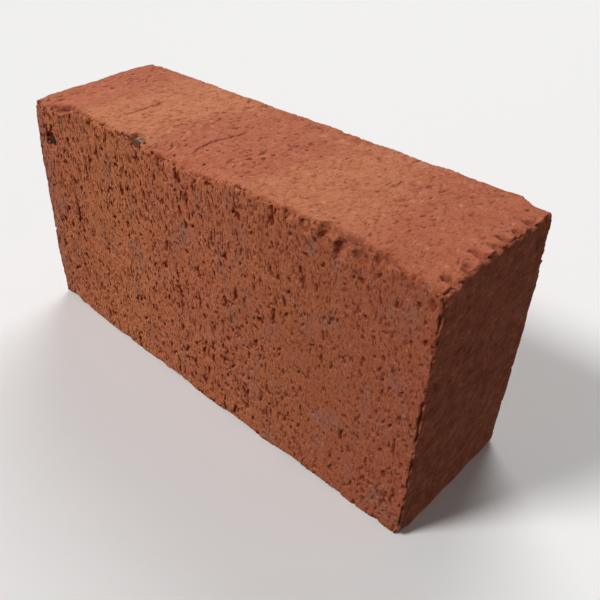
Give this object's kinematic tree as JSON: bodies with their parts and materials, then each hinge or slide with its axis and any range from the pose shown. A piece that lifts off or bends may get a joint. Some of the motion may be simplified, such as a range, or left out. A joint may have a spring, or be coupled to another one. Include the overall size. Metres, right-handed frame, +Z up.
{
  "type": "clay brick",
  "caption": "Solid wire-cut fired-clay building brick with worn arrises, rough drag-marked bed faces, smoother stretcher and header faces, and small stones in the clay.",
  "frame": {"origin": "centre of the stretcher face that the brick stands on", "axes": "+X along the length, +Y through the thickness from one wire-cut bed face to the other, +Z up across the width; laid in a wall, the brick is turned a quarter turn about X so that a bed face is underneath"},
  "size_m": [0.215, 0.065, 0.1025],
  "materials": {
    "fired_clay": "matte, open pored, orange-brown unglazed fired clay with pinkish and grey bands",
    "olive_stone": "smooth olive-brown pebble, dull",
    "charcoal_stone": "rough charcoal-grey stone, dull"
  },
  "bodies": {
    "root": {"brick_body": "fired_clay", "arris_stone": "olive_stone", "face_stone": "charcoal_stone"}
  },
  "joints": []
}
